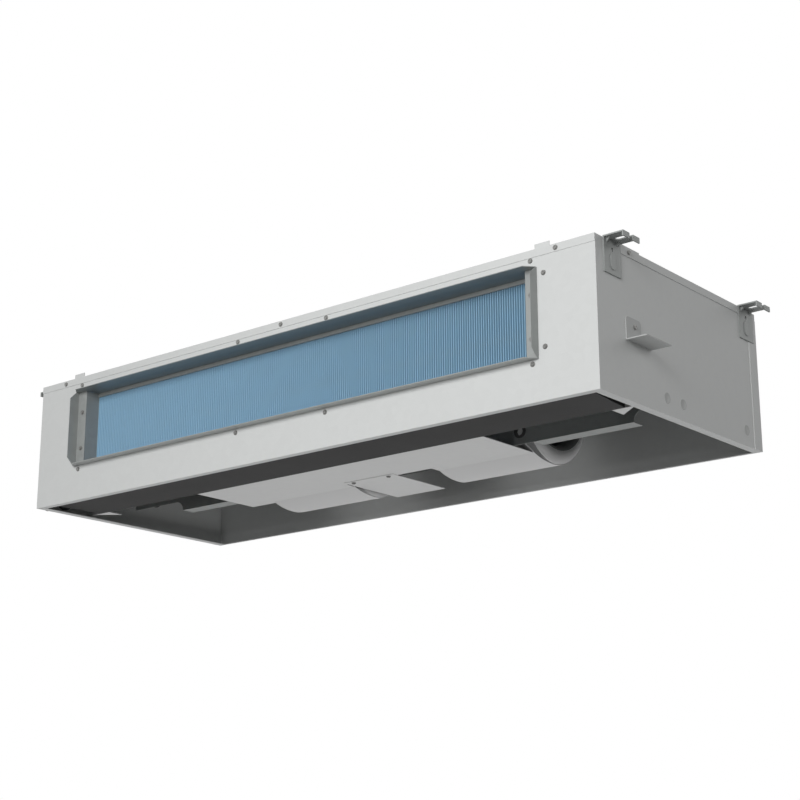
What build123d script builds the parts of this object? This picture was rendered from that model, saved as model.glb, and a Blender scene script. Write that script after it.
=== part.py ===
from build123d import *
import math
import os

# Ceiling-mount air handler: a slim ducted fan-coil unit, seen with its bottom panel off.
# Millimetres. X runs along the width, Y from the air outlet to the rear, Z up.
# The origin is the centre of the four hanger slots, level with the top of the casing.

# Casing
casing_width = 1170.0
casing_depth = 450.0
casing_height = 220.0
sheet = 1.0
top_flange = 11.5
front_lip = 12.5
side_lip = 15.0
rear_lip = 5.0
inner_return = 14.0
corner_wrap = 24.0

# Hangers
hanger_sheet = 2.0
hanger_width = 42.0
hanger_reach = 32.0
hanger_drop = 50.0
hanger_lip = 6.0
slot_width = 9.0
slot_seat = 11.0
hanger_setback = 41.0
hanger_rear_setback = 32.0
hanger_hole_r = 3.0
hanger_hole_drop = 13.5
rib_width = 12.0
rib_length = 24.0
rib_height = 1.4
rib_drop = 31.0
rib_corner = 4.0
gusset_size = 6.0
gusset_thick = 3.0
gusset_spread = 26.0

# Tabs on the top panel
tab_width = 25.0
tab_height = 10.0
tab_setback = 7.0
tab_spread = 986.0
lug_length = 50.0
lug_rise = 2.5

# Air outlet and its duct flanges
outlet_width = 975.0
outlet_bottom = 60.5
outlet_height = 133.0
duct_flange = 16.0
duct_leg = 13.0
duct_mitre = 13.0

# Side bracket
shelf_reach = 32.0
shelf_length = 65.0
shelf_height = 85.0
shelf_setback = 70.0
shelf_sheet = 1.5
ear_length = 38.0
ear_height = 33.0
ear_corner = 6.0
bracket_screw_setback = 92.0
bracket_screw_height = 107.5

# Coil
coil_inset = 21.5
coil_setback = 31.0
coil_bottom = 40.0
tube_pitch = 24.5
tubes_high = 6
row_pitch = 22.0
tube_rows = 2
tube_r = 4.8
fin_pitch = 15.53
fin_thick = 1.25
fin_gap_depth = 10.0
end_flange = 32.0
end_flange_drop = 8.0
end_overhang = 2.5
baffle_step = 6.0

# Refrigerant headers and pipes
header_end = 6.0
header_sides = 12
gas_header_r = 9.5
liquid_header_r = 6.4
gas_pipe_r = 7.9
liquid_pipe_r = 4.8
pipe_reach = 40.0
gas_height = 145.0
liquid_height = 102.0
pipe_hole_gap = 1.5
foam_window = 12.0
nut_length = 20.0
nut_wall = 4.5

# Drain pan
pan_clear = 5.0
pan_setback = 3.0
pan_rear = 117.0
pan_height = 40.0
pan_wall = 8.0
pan_floor = 9.0
pan_fall = 8.0
pan_end_gap = 23.0
pan_taper = 13.0
pan_foot = 8.0
drain_r = 12.5
drain_neck_r = 13.5
drain_bore_r = 10.0
drain_reach = 45.0
drain_setback = 60.0
drain_hole_gap = 1.0
bracket_sheet = 1.5
bracket_height = 20.0
gusset_width = 38.0
gusset_depth = 30.0
bracket_inner = 57.0
bracket_tab = 17.0

# Insulation
top_foam_thick = 7.0
side_foam_thick = 6.0
side_foam_bottom = 26.0

# Partition, its rail and the deck, which ends behind the partition
rail_height = 17.0
rail_depth = 25.0
rail_left = 128.0
rail_right = 91.0
rail_gap_lap = 1.0
rail_gap_width = 38.0
corner_arc = 17.0
deck_pan_gap = 8.0
deck_rear = 58.0
deck_middle = 32.0
deck_left = 57.0
cover_left = 6.0
cover_width = 106.0
cover_setback = 18.0
cover_length = 140.0
cover_screw_inset = 15.0
cover_screw_setback = 7.6
grommet_r = 8.5
grommet_lip = 2.0
grommet_wall = 2.5
grommet_sides = 16
grommet_offset = 13.0
grommet_height = 37.0

# Fans
fan_rear_setback = 112.0
fan_reach = 108.0
fan_height = 108.0
fan_spacing = 371.0
scroll_width = 189.0
scroll_wall = 2.0
scroll_start_r = 86.0
scroll_step = 5.0
throat_r = 140.0
throat_turn = 24.0
seam_rib = 5.0
seam_rib_thick = 2.0
inlet_r = 80.0
inlet_throat_r = 68.0
inlet_depth = 12.0
inlet_skin = 2.0
inlet_sides = 32
wheel_r = 78.0
wheel_end_gap = 13.0
wheel_ring_width = 3.0
blade_count = 20
blade_root_r = 67.0
blade_knee_r = 73.5
blade_knee_lead = 0.5
blade_tip_r = 77.0
blade_tip_lead = 7.0
blade_thick = 1.5
disc_thick = 2.5
hub_r = 15.0
hub_length = 34.0
hub_sides = 20
shaft_r = 6.0
shaft_over = 20.0
running_fit = 0.05

# Motor
motor_r = 48.0
motor_length = 84.0
boss_r = 19.0
boss_length = 22.0
ring_thick = 7.0
ring_width = 14.0
ring_inset = 4.0
ring_sides = 24
bracket_thick = 2.0
bracket_half = 66.0
motor_shelf_height = 52.0
cradle_width = 10.0
clamp_thick = 1.5
clamp_ear = 14.5

# Electrical box on the left-hand side
box_length = 200.0
box_height = 150.0
box_depth = 58.0
box_hanger_gap = 27.0
box_bottom = 34.0
lid_lip = 18.0
board_thick = 1.6
board_margin = 14.0
board_bottom = 40.0
pillar_height = 8.0
pillar_width = 6.0
terminal_length = 72.0
terminal_depth = 22.0
terminal_height = 20.0
terminal_slots = 6
terminal_rib = 3.0
terminal_slot_depth = 6.0
cable_hole_r = 11.0
cable_inset = 105.0
cable_rise = 26.0

# Screws with hexagon heads
screw_r = 3.8
screw_head = 2.2
strip_screw_spread = 520.0
strip_screw_drop = 6.0
lug_screw_setback = 84.7
lug_screw_drop = 5.0
outlet_screw_out = 11.0
outlet_screw_under = 6.0
outlet_screw_middle = 95.0
outlet_screw_inset = 10.5
outlet_side_screws = (75.8, 182.6)
end_screw_offset = 8.0
end_screw_heights = (91.7, 155.5)
small_gap = 0.3

# Places worked out from the sizes above
half = casing_width / 2
hanger_spacing = casing_depth - hanger_setback - hanger_rear_setback
front = -(hanger_setback + hanger_spacing / 2)
rear = front + casing_depth
rim = -casing_height
side_face = half - sheet
side_inner = side_face - sheet
front_face = front + sheet
front_inner = front_face + sheet
rear_face = rear - sheet
rear_inner = rear_face - sheet
under_top = -sheet
foam_under = under_top - top_foam_thick
hanger_places = (front + hanger_setback, front + hanger_setback + hanger_spacing)
outlet_half = outlet_width / 2
outlet_low = rim + outlet_bottom
outlet_high = outlet_low + outlet_height
coil_half = outlet_half - coil_inset
coil_front = front + coil_setback
coil_back = coil_front + tube_rows * row_pitch
coil_low = rim + coil_bottom
coil_high = coil_low + tubes_high * tube_pitch
front_row = coil_front + row_pitch / 2
back_row = front_row + row_pitch
tube_middle = (coil_low + coil_high) / 2
leg_back = front_inner + sheet
pan_low = rim + pan_clear
pan_front = front + pan_setback
pan_back = front + pan_rear
fan_y = rear - fan_rear_setback
fan_z = rim + fan_height
fan_offset = fan_spacing / 2
scroll_outer = fan_offset + scroll_width / 2
scroll_inner = fan_offset - scroll_width / 2
wheel_length = scroll_width - 2 * wheel_end_gap
partition_rear = fan_y - fan_reach
partition_front = partition_rear - sheet
rail_low = rim + rail_height
rail_gap_from = scroll_outer - rail_gap_lap
rail_gap_to = rail_gap_from + rail_gap_width
box_back = hanger_places[1] - hanger_width / 2 - box_hanger_gap
box_front = box_back - box_length
box_low = rim + box_bottom
box_high = box_low + box_height

os.makedirs("parts", exist_ok=True)


def keep(part, label):
    """Label a finished piece and write it to its own file."""
    part.label = label
    export_step(part, f"parts/{label}.step")


def keep_pair(part, label):
    """Write a right-hand piece and its mirror image for the left-hand end."""
    keep(mirror(part, about=Plane.YZ, mode=Mode.PRIVATE), f"{label}_left")
    keep(part, f"{label}_right")


def block(low, high, mode=Mode.ADD):
    """Add a box that spans two corners to the piece being built."""
    centre = tuple((a + b) / 2 for a, b in zip(low, high))
    with Locations(centre):
        Box(*(b - a for a, b in zip(low, high)), mode=mode)


def folded(plane, points, thickness=sheet):
    """The section of a folded sheet: a line along the inside of its folds, thickened to the left."""
    with BuildSketch(plane) as section:
        with BuildLine():
            Polyline(*points)
            offset(amount=thickness, side=Side.LEFT, kind=Kind.INTERSECTION)
        make_face()
    return section.sketch


def outline(plane, points):
    """A flat face with straight edges."""
    with BuildSketch(plane) as face:
        with BuildLine():
            Polyline(*points, close=True)
        make_face()
    return face.sketch


def bar(start, end, radius, mode=Mode.ADD):
    """Add a straight round bar between two points to the piece being built."""
    run = Vector(*end) - Vector(*start)
    with BuildSketch(Plane(origin=start, z_dir=run)) as disc:
        Circle(radius)
    extrude(disc.sketch, amount=run.length, mode=mode)


def prism(start, end, radius, sides, mode=Mode.ADD):
    """Add a straight bar with flat sides between two points to the piece being built."""
    run = Vector(*end) - Vector(*start)
    with BuildSketch(Plane(origin=start, z_dir=run)) as section:
        RegularPolygon(radius, sides)
    extrude(section.sketch, amount=run.length, mode=mode)


def screw_heads(places, outward):
    """Add a hexagon head at each place, standing outward from its seat."""
    for place in places:
        top = Vector(*place) + Vector(*outward) * screw_head
        prism(place, tuple(top), screw_r, 6)


# The top panel is a tray whose edges fold down over the other panels
flange_from = hanger_places[0] + hanger_width / 2 + small_gap
flange_to = hanger_places[1] - hanger_width / 2 - small_gap
with BuildPart() as top_panel:
    tray_line = [(front_face, -top_flange), (front_face, under_top), (rear_face, under_top), (rear_face, -top_flange)]
    extrude(folded(Plane.YZ, tray_line), amount=side_face)
    flange_line = [(side_face - front_lip, under_top), (side_face, under_top), (side_face, -top_flange)]
    extrude(folded(Plane.XZ.offset(-flange_to), flange_line), amount=flange_to - flange_from)
    block((side_face, flange_from, -top_flange), (half, flange_from + lug_length, lug_rise))
    tab_from = tab_spread / 2 - tab_width / 2
    tab_y = front + tab_setback
    block((tab_from, tab_y, under_top), (tab_from + tab_width, tab_y + sheet, tab_height))
    window_to = (tab_from + tab_width, tab_y + sheet + tab_height, 0)
    block((tab_from, tab_y + sheet, under_top), window_to, mode=Mode.SUBTRACT)
    mirror(about=Plane.YZ)
keep(top_panel.part, "top_panel")

# The front panel carries the outlet and turns in under the casing and at both ends
with BuildPart() as front_panel:
    front_line = [(front + front_lip, rim + sheet), (front_inner, rim + sheet), (front_inner, under_top)]
    extrude(folded(Plane.YZ, front_line), amount=side_inner)
    block((side_inner - sheet, front_inner, rim + 2 * sheet), (side_inner, front_inner + inner_return, foam_under))
    block((0, front, outlet_low), (outlet_half, front_inner, outlet_high), mode=Mode.SUBTRACT)
    mirror(about=Plane.YZ)
keep(front_panel.part, "front_panel")

# The rear panel wraps round both ends, with a notch below each hanger leg
wrap_from = rear - corner_wrap
notch_y = hanger_places[1] + hanger_width / 2 + small_gap
notch_z = -hanger_drop - small_gap
with BuildPart() as rear_panel:
    rear_line = [(rear_inner, under_top), (rear_inner, rim + sheet), (rear - rear_lip, rim + sheet)]
    extrude(folded(Plane.YZ, rear_line), amount=side_inner)
    block((side_inner, rear_inner, rim), (side_face, rear_face, under_top))
    wrap_line = [(side_inner, rear_inner), (side_face, rear_inner), (side_face, wrap_from)]
    extrude(folded(Plane.XY.offset(rim), wrap_line), amount=casing_height - top_flange)
    block((side_face, wrap_from, notch_z), (half, notch_y, -top_flange), mode=Mode.SUBTRACT)
    mirror(about=Plane.YZ)
keep(rear_panel.part, "rear_panel")


def side_panel():
    """Add one plain right-hand side panel, its lip stopping short of the front and rear lips."""
    side_line = [(side_inner, under_top), (side_inner, rim + sheet), (half - side_lip, rim + sheet)]
    extrude(folded(Plane.XZ.offset(-rear_inner), side_line), amount=rear_inner - front_face)
    lip_low = (half - side_lip, front_face, rim)
    block(lip_low, (side_inner, front + front_lip, rim + sheet), mode=Mode.SUBTRACT)
    rear_low = (half - side_lip, rear - rear_lip, rim)
    block(rear_low, (side_inner, rear_inner, rim + sheet), mode=Mode.SUBTRACT)


with BuildPart() as right_panel:
    side_panel()
keep(right_panel.part, "right_panel")

# The left panel is open to the pipes, the drain and the cables of the electrical box
drain_y = front + drain_setback
drain_z = pan_low + pan_floor + drain_bore_r
cable_y = box_front + cable_inset
cable_z = box_low + cable_rise
pipes = ((back_row, rim + gas_height, gas_pipe_r), (front_row, rim + liquid_height, liquid_pipe_r))
holes = [(y, z, radius + pipe_hole_gap) for y, z, radius in pipes]
holes += [(drain_y, drain_z, drain_neck_r + drain_hole_gap), (cable_y, cable_z, cable_hole_r)]
with BuildPart() as plain_side:
    side_panel()
with BuildPart() as left_panel:
    mirror(plain_side.part, about=Plane.YZ)
    for y, z, radius in holes:
        bar((-side_inner, y, z), (-side_face, y, z), radius, mode=Mode.SUBTRACT)
keep(left_panel.part, "left_panel")

# Four duct flanges stand forward from the outlet, mitred at their front corners
duct_front = front - duct_flange
outlet_middle = Plane.XY.offset((outlet_low + outlet_high) / 2)
with BuildPart() as duct_top:
    top_line = [(front_inner, outlet_high + duct_leg), (front_inner, outlet_high), (duct_front, outlet_high)]
    extrude(folded(Plane.YZ, top_line), amount=outlet_half, both=True)
    chamfer(duct_top.edges().filter_by(Axis.Z).group_by(Axis.Y)[0], length=duct_mitre)
keep(duct_top.part, "duct_flange_top")
keep(mirror(duct_top.part, about=outlet_middle, mode=Mode.PRIVATE), "duct_flange_bottom")

with BuildPart() as duct_side:
    end_line = [(outlet_half, duct_front), (outlet_half, front_inner), (outlet_half + duct_leg, front_inner)]
    extrude(folded(Plane.XY.offset(outlet_low + sheet), end_line), amount=outlet_height - 2 * sheet)
    chamfer(duct_side.edges().filter_by(Axis.X).group_by(Axis.Y)[0], length=duct_mitre)
keep_pair(duct_side.part, "duct_flange")

# Each hanger is a leg on the side panel, an arm with an open slot and a turned-down lip
leg_out = side_face + hanger_sheet
tip = half + hanger_reach - hanger_sheet
seat_x = half + slot_seat
for end, place in zip(("front", "rear"), hanger_places):
    with BuildPart() as hangers:
        arm_line = [(leg_out, -hanger_drop), (leg_out, 0), (tip, 0), (tip, -hanger_lip)]
        extrude(folded(Plane.XZ.offset(-place), arm_line, hanger_sheet), amount=hanger_width / 2, both=True)
        for step in (-gusset_spread / 2, gusset_spread / 2):
            web = [(leg_out, 0), (leg_out, -gusset_size), (leg_out + gusset_size, 0)]
            extrude(outline(Plane.XZ.offset(-place - step), web), amount=gusset_thick / 2, both=True)
        with BuildSketch(Plane.YZ.offset(leg_out)) as rib:
            with Locations((place, -rib_drop)):
                Rectangle(rib_width, rib_length)
            chamfer(rib.vertices(), length=rib_corner)
        extrude(rib.sketch, amount=rib_height)
        bar((seat_x, place, -hanger_lip), (seat_x, place, hanger_sheet), slot_width / 2, mode=Mode.SUBTRACT)
        slot_low = (seat_x, place - slot_width / 2, -hanger_lip)
        block(slot_low, (half + hanger_reach, place + slot_width / 2, hanger_sheet), mode=Mode.SUBTRACT)
        hole_z = -hanger_hole_drop
        bar((side_face, place, hole_z), (leg_out, place, hole_z), hanger_hole_r, mode=Mode.SUBTRACT)
        mirror(about=Plane.YZ)
    keep(hangers.part, f"hangers_{end}")

# The side bracket is a folded shelf with an ear at its front end
with BuildPart() as side_bracket:
    ear_out = side_face + shelf_sheet
    shelf_top = rim + shelf_height + shelf_sheet
    shelf_from = front + shelf_setback
    shelf_line = [(half + shelf_reach, shelf_top), (ear_out, shelf_top), (ear_out, shelf_top + ear_height)]
    shelf_plane = Plane.XZ.offset(-shelf_from - shelf_length)
    extrude(folded(shelf_plane, shelf_line, shelf_sheet), amount=shelf_length)
    ear_low = (side_face, shelf_from + ear_length, shelf_top)
    ear_high = (ear_out, shelf_from + shelf_length, shelf_top + ear_height)
    block(ear_low, ear_high, mode=Mode.SUBTRACT)
    fillet(side_bracket.edges().filter_by(Axis.X).group_by(Axis.Z)[-1], radius=ear_corner)
keep(side_bracket.part, "side_bracket")

# Insulation boards line the top and the ends of the coil bay
with BuildPart() as top_foam:
    block((-side_inner, front_inner, foam_under), (side_inner, rear_inner, under_top))
keep(top_foam.part, "top_foam")

foam_front = front_inner + inner_return
foam_low = (side_inner - side_foam_thick, foam_front, rim + side_foam_bottom)
foam_high = (side_inner, pan_back, foam_under)
with BuildPart() as side_foam:
    block(foam_low, foam_high)
keep(side_foam.part, "side_foam_right")
with BuildPart() as left_foam:
    mirror(side_foam.part, about=Plane.YZ)
    window_low = (-side_inner, front_row - foam_window, rim + liquid_height - foam_window)
    window_high = (side_foam_thick - side_inner, back_row + foam_window, rim + gas_height + foam_window)
    block(window_low, window_high, mode=Mode.SUBTRACT)
    foam_end = (side_foam_thick - side_inner, drain_y, drain_z)
    bar((-side_inner, drain_y, drain_z), foam_end, drain_neck_r + drain_hole_gap, mode=Mode.SUBTRACT)
keep(left_foam.part, "side_foam_left")

# The fin pack is one block with gaps between its fins on the air side
fin_count = round(2 * coil_half / fin_pitch)
with BuildPart() as fin_pack:
    block((-coil_half, coil_front, coil_low), (coil_half, coil_back, coil_high))
    with Locations((0, coil_front + fin_gap_depth / 2, tube_middle)):
        with GridLocations(fin_pitch, 1, fin_count, 1):
            Box(fin_pitch - fin_thick, fin_gap_depth, coil_high - coil_low, mode=Mode.SUBTRACT)
keep(fin_pack.part, "coil_fin_pack")

# Each end plate is a web beside the fins and a flange screwed to the outlet frame
with BuildPart() as end_plate:
    web_x = coil_half + sheet
    flange_y = leg_back + sheet
    web_line = [(web_x + end_flange, flange_y), (web_x, flange_y), (web_x, coil_back + end_overhang)]
    web_height = coil_high - coil_low + baffle_step + sheet
    extrude(folded(Plane.XY.offset(coil_low), web_line), amount=web_height)
    step_high = (web_x + end_flange, coil_front - sheet, outlet_low - end_flange_drop)
    block((coil_half, leg_back, coil_low), step_high, mode=Mode.SUBTRACT)
keep_pair(end_plate.part, "coil_end_plate")

# The baffle closes the gap above the coil and forms the ceiling of the outlet
with BuildPart() as coil_baffle:
    step_y = coil_front - 2 * sheet
    ceiling = coil_high + baffle_step
    baffle_line = [(leg_back, ceiling), (step_y, ceiling), (step_y, coil_high), (coil_back, coil_high)]
    extrude(folded(Plane.YZ, baffle_line), amount=coil_half, both=True)
keep(coil_baffle.part, "coil_baffle")

# Return bends join the two rows of tubes at the right-hand end, each folded from straight lengths
bend_x = coil_half + sheet
with BuildPart() as return_bends:
    bend_r = row_pitch / 2
    bend_leg = bend_r * math.tan(math.radians(22.5))
    near = [(bend_x, front_row), (bend_x + bend_leg, front_row), (bend_x + bend_r, back_row - bend_r - bend_leg)]
    far = [(x, front_row + back_row - y) for x, y in reversed(near)]
    with BuildLine() as bend_line:
        Polyline(*near, *far)
    for step in range(tubes_high):
        tube_z = coil_low + (step + 0.5) * tube_pitch
        with BuildSketch(Plane.YZ.offset(bend_x)) as tube:
            with Locations((front_row, tube_z)):
                RegularPolygon(radius=tube_r, side_count=8)
        path = bend_line.line.moved(Location((0, 0, tube_z)))
        sweep(tube.sketch, path=path, transition=Transition.RIGHT)
keep(return_bends.part, "return_bends")


def header(row_y, radius, pipe_r, pipe_z):
    """Add a header tube on the end plate and its pipe out through the left-hand side."""
    header_x = -bend_x - radius
    top = (header_x, row_y, coil_high - header_end)
    prism((header_x, row_y, coil_low + header_end), top, radius, header_sides)
    bar((header_x, row_y, pipe_z), (nut_length - half - pipe_reach, row_y, pipe_z), pipe_r)


with BuildPart() as gas_header:
    header(back_row, gas_header_r, gas_pipe_r, rim + gas_height)
keep(gas_header.part, "gas_header")
with BuildPart() as liquid_header:
    header(front_row, liquid_header_r, liquid_pipe_r, rim + liquid_height)
keep(liquid_header.part, "liquid_header")

# A flare nut caps the end of each pipe
with BuildPart() as flare_nuts:
    for y, z, radius in pipes:
        nut_from = (nut_length - half - pipe_reach, y, z)
        prism(nut_from, (-half - pipe_reach, y, z), radius + nut_wall, 6)
keep(flare_nuts.part, "flare_nuts")

# The drain pan tapers to the rear, and its floor falls to the drain socket at the left
pan_front_x = half - pan_end_gap
pan_rear_x = pan_front_x - pan_taper
pool_x = pan_rear_x - pan_wall
pan_high = pan_low + pan_height
with BuildPart() as drain_pan:
    plan = [(-pan_front_x, pan_front), (pan_front_x, pan_front), (pan_rear_x, pan_back), (-pan_rear_x, pan_back)]
    extrude(outline(Plane.XY.offset(pan_low), plan), amount=pan_height)
    block((-pool_x, pan_front, rim + sheet), (pool_x, pan_front + pan_foot, pan_low))
    drain_from = (-pool_x, drain_y, drain_z)
    drain_shoulder = (-half, drain_y, drain_z)
    drain_end = (-half - drain_reach, drain_y, drain_z)
    bar(drain_from, drain_shoulder, drain_neck_r)
    bar(drain_shoulder, drain_end, drain_r)
    floor_left = pan_low + pan_floor
    pool = [(-pool_x, floor_left), (pool_x, floor_left + pan_fall), (pool_x, pan_high), (-pool_x, pan_high)]
    pool_length = pan_back - pan_front - 2 * pan_wall
    extrude(outline(Plane.XZ.offset(pan_wall - pan_back), pool), amount=pool_length, mode=Mode.SUBTRACT)
    bar(drain_from, drain_end, drain_bore_r, mode=Mode.SUBTRACT)
keep(drain_pan.part, "drain_pan")

# A bracket at each rear corner ties the pan to the side panel
with BuildPart() as pan_bracket:
    gusset_x = half - bracket_inner
    corner = [(gusset_x, pan_back), (gusset_x + gusset_width, pan_back), (gusset_x, pan_back + gusset_depth)]
    extrude(outline(Plane.XY.offset(pan_low), corner), amount=bracket_sheet)
    strip_low = (gusset_x, pan_back, pan_low)
    block(strip_low, (side_inner, pan_back + bracket_sheet, pan_low + bracket_height))
    tab_low = (side_inner - bracket_sheet, pan_back, pan_low)
    block(tab_low, (side_inner, pan_back + bracket_tab, pan_low + bracket_height))
keep_pair(pan_bracket.part, "pan_bracket")


def volute(wall):
    """The fan housing's outline in arcs of growing radius, drawn inside the wall by its thickness."""
    tongue_y = fan_y - scroll_start_r + wall
    with BuildSketch(Plane.YZ) as shape:
        with BuildLine():
            Line((partition_rear, fan_z - wall), (tongue_y, fan_z - wall))
            if wall:
                Line((tongue_y, fan_z - wall), (tongue_y, fan_z))
            radius = scroll_start_r - wall
            rise = JernArc((tongue_y, fan_z), (0, 1), radius, -90)
            over = JernArc(rise @ 1, rise % 1, radius + scroll_step, -90)
            down = JernArc(over @ 1, over % 1, radius + 2 * scroll_step, -90)
            throat = JernArc(down @ 1, down % 1, throat_r - wall, -throat_turn)
            reach = (throat @ 1).X - partition_rear
            low = (throat @ 1).Y + reach * math.tan(math.radians(throat_turn))
            Polyline(throat @ 1, (partition_rear, low), (partition_rear, fan_z - wall))
        make_face()
    return shape.sketch


# Each fan housing is split into two halves at the height of the shaft
scroll_low = fan_z - scroll_start_r - 3 * scroll_step
throat_y = fan_y - scroll_step
throat_z = scroll_low + throat_r
lower_wall = throat_r - scroll_wall
turn = math.radians(throat_turn)
air_low = throat_z - lower_wall * math.cos(turn)
air_low += (throat_y - lower_wall * math.sin(turn) - partition_rear) * math.tan(turn)
air_high = fan_z - scroll_wall
seam_y = fan_y + scroll_start_r
with BuildPart() as scroll:
    extrude(volute(0), amount=scroll_width / 2, both=True)
    seam_low = (-scroll_width / 2, seam_y, fan_z - seam_rib_thick)
    block(seam_low, (scroll_width / 2, seam_y + scroll_step + seam_rib, fan_z + seam_rib_thick))
    extrude(volute(scroll_wall), amount=scroll_width / 2 - scroll_wall, both=True, mode=Mode.SUBTRACT)
    mouth_from = (-scroll_width / 2, fan_y, fan_z)
    mouth_to = (scroll_width / 2, fan_y, fan_z)
    prism(mouth_from, mouth_to, inlet_r, inlet_sides, mode=Mode.SUBTRACT)
shaft_level = Plane.XY.offset(fan_z)
for level, side in (("upper", Keep.TOP), ("lower", Keep.BOTTOM)):
    half_scroll = split(scroll.part, bisect_by=shaft_level, keep=side, mode=Mode.PRIVATE)
    for end, x in (("left", -fan_offset), ("right", fan_offset)):
        with BuildPart() as fan_housing:
            with Locations((x, 0, 0)):
                add(half_scroll)
        keep(fan_housing.part, f"fan_housing_{end}_{level}")

# Four inlet rings sit in the end walls of the housings and narrow toward the wheels
inlet_run = inlet_r - inlet_skin - inlet_throat_r
inlet_taper = math.degrees(math.atan2(inlet_run * math.cos(math.pi / inlet_sides), inlet_depth))
with BuildPart() as inlet_ring:
    for radius, mode in ((inlet_r, Mode.ADD), (inlet_r - inlet_skin, Mode.SUBTRACT)):
        with BuildSketch() as mouth:
            RegularPolygon(radius, inlet_sides)
        extrude(mouth.sketch, amount=inlet_depth, taper=inlet_taper, mode=mode)
with BuildPart() as inlet_rings:
    for x in (-fan_offset, fan_offset):
        for side in (-1, 1):
            mouth_centre = (x + side * scroll_width / 2, fan_y, fan_z)
            with Locations(Plane(origin=mouth_centre, z_dir=(-side, 0, 0))):
                add(inlet_ring.part)
keep(inlet_rings.part, "inlet_rings")

# The partition stands between the coil and the fans, on a rail folded to the rear
with BuildPart() as partition:
    rail_line = [(partition_rear + rail_depth, rail_low + sheet), (partition_rear, rail_low + sheet)]
    rail_line.append((partition_rear, foam_under))
    extrude(folded(Plane.YZ, rail_line), amount=side_inner, both=True)
    for side, inset in ((-1, rail_left), (1, rail_right)):
        corner_x = side * (half - inset)
        with BuildSketch(Plane.XZ.offset(-partition_rear - rail_depth)) as corner:
            with BuildLine():
                arc = JernArc((corner_x, rail_low), (0, 1), corner_arc, -side * 90)
                Polyline(arc @ 1, (side * side_inner, (arc @ 1).Y), (side * side_inner, rail_low), arc @ 0)
            make_face()
        extrude(corner.sketch, amount=rail_depth + sheet, mode=Mode.SUBTRACT)
    gap_high = (rail_gap_to, partition_rear + rail_depth, rail_low + sheet)
    block((rail_gap_from, partition_rear, rail_low), gap_high, mode=Mode.SUBTRACT)
    for x in (-fan_offset, fan_offset):
        air_from = x - scroll_width / 2 + scroll_wall
        air_to = x + scroll_width / 2 - scroll_wall
        block((air_from, partition_front, air_low), (air_to, partition_rear, air_high), mode=Mode.SUBTRACT)
    grommet_x = rail_gap_from + grommet_offset
    grommet_z = rim + grommet_height
    hole_from = (grommet_x, partition_front, grommet_z)
    bar(hole_from, (grommet_x, partition_rear, grommet_z), grommet_r, mode=Mode.SUBTRACT)
keep(partition.part, "partition_plate")

with BuildPart() as cable_grommets:
    lip_from = (grommet_x, partition_front - grommet_lip, grommet_z)
    hole_to = (grommet_x, partition_rear, grommet_z)
    prism(lip_from, hole_from, grommet_r + grommet_lip, grommet_sides)
    prism(hole_from, hole_to, grommet_r, grommet_sides)
    prism(lip_from, hole_to, grommet_r - grommet_wall, grommet_sides, mode=Mode.SUBTRACT)
    cable_from = (grommet_lip - side_inner, cable_y, cable_z)
    wall_from = (-side_inner, cable_y, cable_z)
    cable_to = (-half, cable_y, cable_z)
    prism(cable_from, wall_from, cable_hole_r + grommet_lip, grommet_sides)
    prism(wall_from, cable_to, cable_hole_r, grommet_sides)
    prism(cable_from, cable_to, cable_hole_r - grommet_wall, grommet_sides, mode=Mode.SUBTRACT)
keep(cable_grommets.part, "cable_grommets")

# The deck plate hangs under the rail and meets the curve of both fan housings
deck_front = pan_back + deck_pan_gap
deck_reach = throat_y - math.sqrt(throat_r**2 - (throat_z - rail_low) ** 2) - small_gap
middle_y = partition_rear + deck_middle
left_y = partition_rear + deck_rear
with BuildPart() as deck_plate:
    deck_x = -scroll_outer - deck_left
    plan = [(deck_x, deck_front), (rail_gap_from, deck_front), (rail_gap_from, deck_reach)]
    plan += [(scroll_inner, deck_reach), (scroll_inner, middle_y), (-scroll_inner, middle_y)]
    plan += [(-scroll_inner, deck_reach), (-scroll_outer, deck_reach), (-scroll_outer, left_y), (deck_x, left_y)]
    extrude(outline(Plane.XY.offset(rail_low - sheet), plan), amount=sheet)
keep(deck_plate.part, "deck_plate")

cover_x = cover_left - scroll_inner
cover_y = partition_rear + cover_setback
cover_low = rail_low - 2 * sheet
with BuildPart() as motor_cover:
    block((cover_x, cover_y, cover_low), (cover_x + cover_width, cover_y + cover_length, cover_low + sheet))
keep(motor_cover.part, "motor_cover")


# Each wheel has forward-curved blades from a centre disc to a rim at each end
def polar(radius, lead):
    """A point of a blade, its lead in degrees ahead of the blade's root."""
    angle = math.radians(-lead)
    return (radius * math.cos(angle), radius * math.sin(angle))


rim_from = wheel_length / 2 - wheel_ring_width
with BuildPart() as wheel_blades:
    with BuildSketch(Plane.YZ) as blade:
        with BuildLine():
            Polyline(polar(blade_root_r, 0), polar(blade_knee_r, blade_knee_lead), polar(blade_tip_r, blade_tip_lead))
            offset(amount=blade_thick, side=Side.RIGHT, kind=Kind.INTERSECTION)
        make_face()
    with BuildSketch(Plane.YZ.offset(disc_thick / 2)) as blades:
        with PolarLocations(0, blade_count):
            add(blade.sketch_local)
    extrude(blades.sketch, amount=rim_from - disc_thick / 2)
    mirror(about=Plane.YZ)

with BuildPart() as wheel_rims:
    with BuildSketch(Plane.YZ.offset(rim_from)) as ring:
        RegularPolygon(radius=wheel_r, side_count=blade_count)
        RegularPolygon(radius=blade_root_r, side_count=blade_count, mode=Mode.SUBTRACT)
    extrude(ring.sketch, amount=wheel_ring_width)
    mirror(about=Plane.YZ)

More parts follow.
